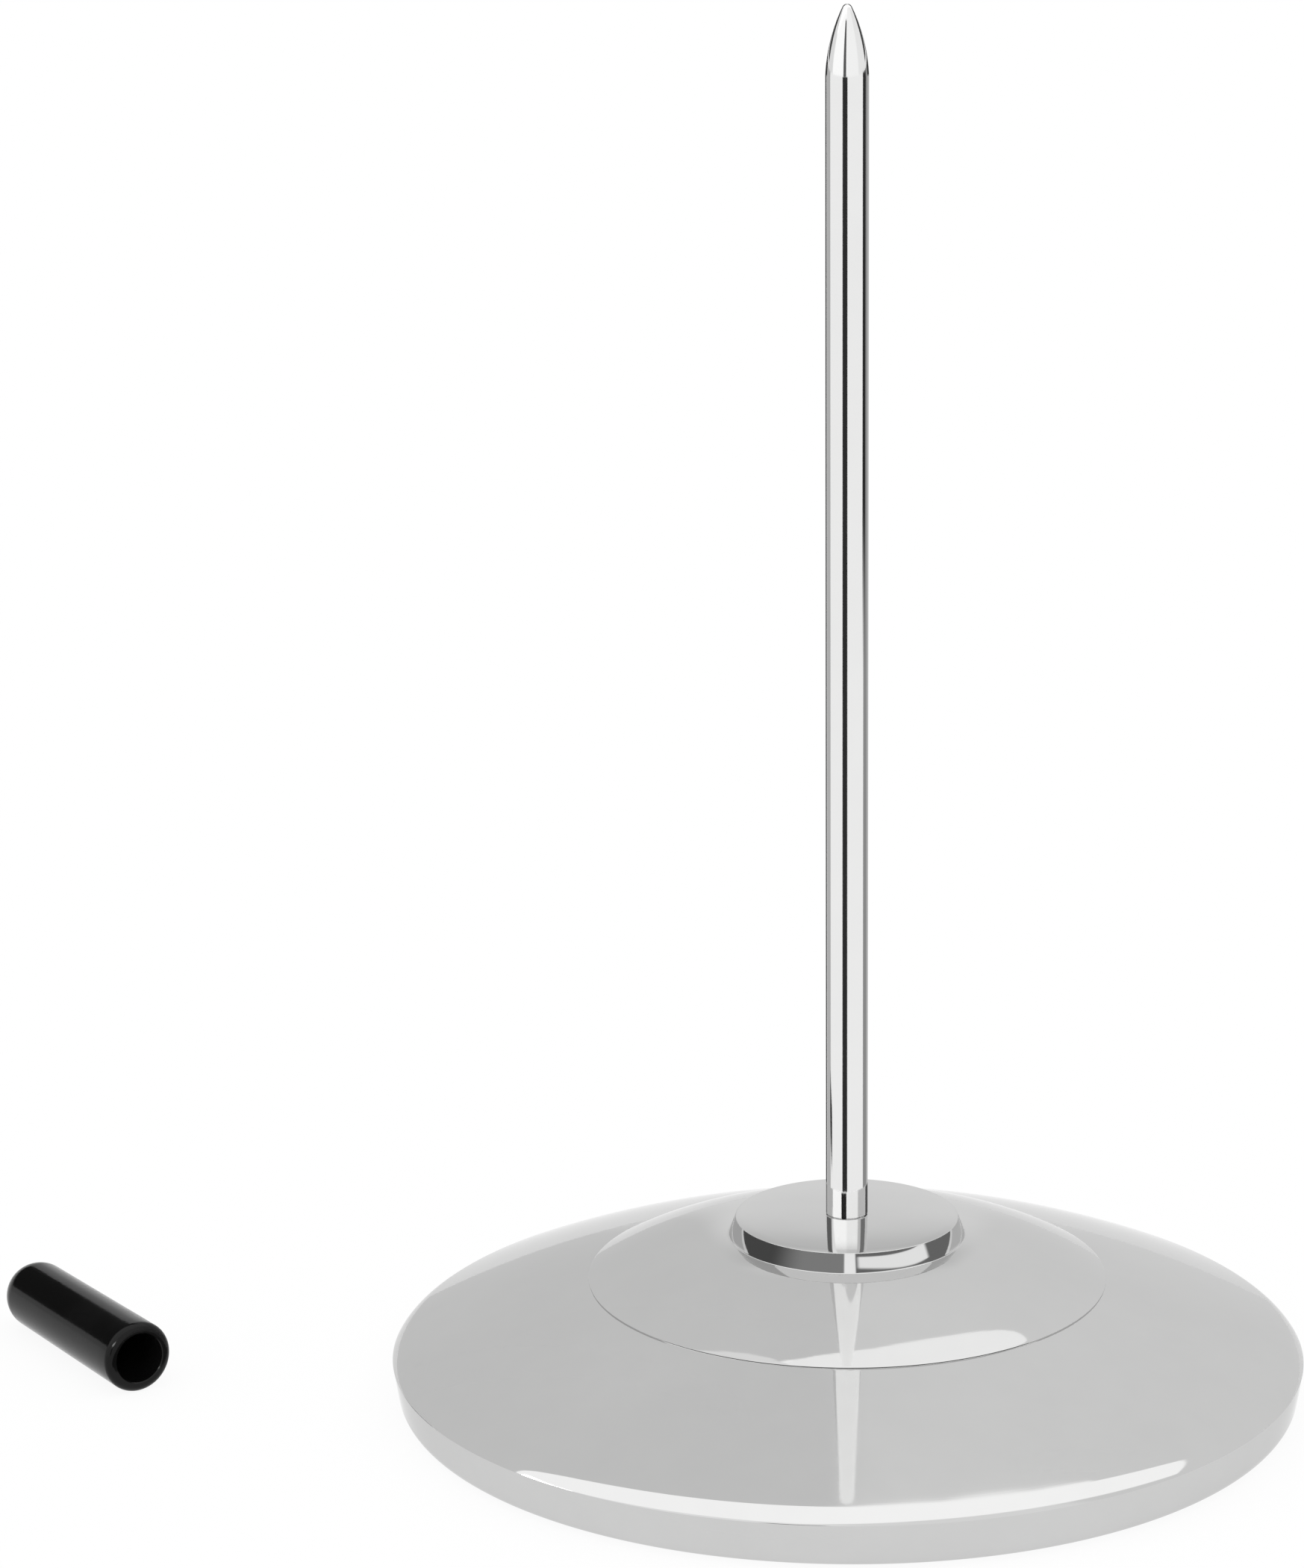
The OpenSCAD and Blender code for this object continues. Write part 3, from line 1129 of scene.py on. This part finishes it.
    def apron(self) -> None:
        """Hangs a level panel round the front, which the boss's wall alone mirrors, painting the dark and
        bright reflection on that wall.
        """
        near = [(-turn, reach) for turn, reach in reversed(APRON_SIDE[1:])] + list(APRON_SIDE)
        far = [(turn, 6000) for turn in (128, 90, 60, 30, 0, -30, -60, -90, -128)]
        shader = self.card("front_apron", [polar(*spot) for spot in near + far], self.apron_level)
        x, y, _ = shader.axes(shader.place())
        turn = shader.math("ARCTAN2", x, -y) * DEGREES
        reach = (x * x + y * y) ** 0.5
        bend = turn * turn * 0.001
        panel = (reach - bend * 0.0234).rise(0.283, 0.293) * (1 - (reach - bend * 0.069).rise(0.38, 0.44))
        right = (panel * turn.within(11.0, 85.0, 2.5)).between(0.2, self.front_light)
        left = turn.rise(-80, -40).between(0.09, 0.31)
        tone = turn.within(-2.5, 8.5, 1.0).between(turn.rise(2, 4).between(left, right), 1.3)
        hidden = 1 - self.mirrored_by(shader, Sender.BOSS_FRONT, self.apron_level, soft=0.1)
        self.light(shader, tone, hidden.most(self.mirrored_twice(shader)))

    def walls(self, shader: Shader, x: Value, over: Value) -> Value:
        """Brightness of the walls and the back.

        Args:
            shader: the world's shader.
            x: how far a direction points to the right.
            over: its angle from the front horizon over the zenith, in degrees.

        Returns:
            The brightness.
        """
        walls = x.rise(-0.03, 0.03).between(*self.wall)
        stops = [(angle / 180, grey) for angle, grey in BACK_STOPS]
        back = shader.node("ShaderNodeValToRGB", {"stops": stops}, {"Fac": over / 180.0})
        return ((1 - (x * x).rise(0.0049, 0.02)) * over.rise(143, 148)).between(walls, back)

    def front(self, shader: Shader, turn: Value, lift: Value) -> Value:
        """Brightness of the room in front, painted brighter for second mirrorings, with the dark line that
        the point shows, a painted reflection seen in first mirrorings alone.

        Args:
            shader: the world's shader.
            turn: a direction's angle from straight ahead, in degrees.
            lift: its angle above the horizon, in degrees.

        Returns:
            The brightness.
        """
        side = turn.rise(-8, 6)
        # The world counts one step more of a ray's path than a card does
        twice = shader.light_path("Ray Depth").rise(2.2, 2.8)
        low_twice = twice * (1 - lift.rise(24, 30))
        # Painted light: second mirrorings see the low room brighter than first ones do.
        room = side.between(*self.room) * low_twice.between(1.0, side.between(*self.room_twice))
        # Painted reflection: the dark line shows in first mirrorings alone.
        line = turn.within(-20, -5, 2) * (1 - lift.rise(35, 37)) * (1 - twice)
        return line.between(room, 0.1)

    @staticmethod
    def box(across: Value, along: Value) -> Value:
        """Shape of the box overhead.

        Args:
            across: where a direction meets a level plane overhead, to the right.
            along: the same, to the back.

        Returns:
            1 inside the box and 0 outside.
        """
        slant = across.most(0.0) * 0.3 + across.most(0.15) * 0.3 + across.most(0.3) * 0.25
        far_edge = (slant - (-across).most(0.0) * 0.12 + 0.19).least(0.53)
        inside = (1 - (along - far_edge).rise(-0.008, 0.008)) * across.rise(-3.3, -2.9)
        return inside * (1 - (across * 0.4255 + along).rise(0.89, 0.94))

    def sky(self) -> None:
        """Surrounds the object with the box overhead, pale walls and the pale room in front."""
        world = bpy.data.worlds.new("studio")
        bpy.context.scene.world = world
        world.use_nodes = True
        shader = Shader(world.node_tree)
        x, y, z = shader.axes(shader.node("ShaderNodeTexCoord", output="Generated"))
        over = shader.math("ARCTAN2", z, -y) * DEGREES
        turn = shader.math("ARCTAN2", x, -y) * DEGREES
        lift = shader.math("ARCSINE", z) * DEGREES
        height = z.most(0.03)
        across, along = x / height, y / height
        aside = across.most(-across)
        past_front = (along - aside * 0.3 + 1.25).least(along - across * 0.577 + 1.02).rise(-0.05, 0.05)
        ahead = (1 - past_front) * turn.within(-84, 64, 5)
        around = ahead.between(self.walls(shader, x, over), self.front(shader, turn, lift))
        overhead = self.box(across, along) * past_front * z.rise(0.0, 0.05)
        lit = shader.node("ShaderNodeBackground", {}, {
            "Color": overhead.between(around, self.box_light), "Strength": 1.0})
        white = shader.node("ShaderNodeBackground", {}, {"Color": (1, 1, 1, 1), "Strength": 1.0})
        camera = shader.light_path("Is Camera Ray")
        mixed = shader.node("ShaderNodeMixShader", {}, {0: camera, 1: lit, 2: white})
        shader.node("ShaderNodeOutputWorld", {}, {"Surface": mixed})

    def build(self) -> None:
        """Sets up floor, cards and surrounding light."""
        bpy.context.scene.view_settings.view_transform = "Standard"
        self.floor()
        for wedge in ROD_PAINTED_REFLECTIONS + FOOT_PAINTED_REFLECTIONS + POINT_PAINTED_EDGES + BASE_PAINTED_SHADE:
            self.lay(wedge)
        for veil in CAP_PAINTED_REFLECTIONS:
            self.hang(veil)
        self.dome_painted_highlights()
        self.apron()
        self.sky()
        LOG.info("studio: floor %.1f m across", 2 * self.floor_half)


@dataclass
class Viewpoint:
    """The photograph's camera: place in millimetres, angles in degrees."""

    place: tuple[float, float, float] = (0.0, -600.0, 236.3)
    down: float = 14.902
    pan: float = -2.193
    roll: float = -0.547
    lens: float = 120.98

    def build(self) -> None:
        """Makes the camera and hands it to the scene."""
        down, pan, roll = (math.radians(a) for a in (self.down, self.pan, self.roll))
        ahead = Vector((math.sin(pan) * math.cos(down), math.cos(pan) * math.cos(down), -math.sin(down)))
        right = Vector((math.cos(pan), -math.sin(pan), 0.0))
        up = right.cross(ahead)
        right, up = (math.cos(roll) * right + math.sin(roll) * up,
                     math.cos(roll) * up - math.sin(roll) * right)
        data = bpy.data.cameras.new("viewpoint")
        data.lens = self.lens
        data.sensor_width = 36.0
        data.clip_start, data.clip_end = 0.01, 50.0
        camera = bpy.data.objects.new("viewpoint", data)
        bpy.context.scene.collection.objects.link(camera)
        turn = Matrix((right, up, -ahead)).transposed().to_4x4()
        camera.matrix_world = Matrix.Translation(Vector(self.place) * MM) @ turn
        bpy.context.scene.camera = camera
        LOG.info("camera: lens %.1f mm", self.lens)


def main() -> None:
    """Builds the object, the studio and the camera in order."""
    logging.basicConfig(level=logging.INFO, format="%(name)s: %(message)s")
    base = WeightedBase()
    base.build()
    PaperSpike(foot_z=base.boss_z).build()
    SafetyCap().build()
    HiddenParts(frame["nodes"]).build()
    Studio().build()
    Viewpoint().build()


if __name__ == "__main__":
    main()
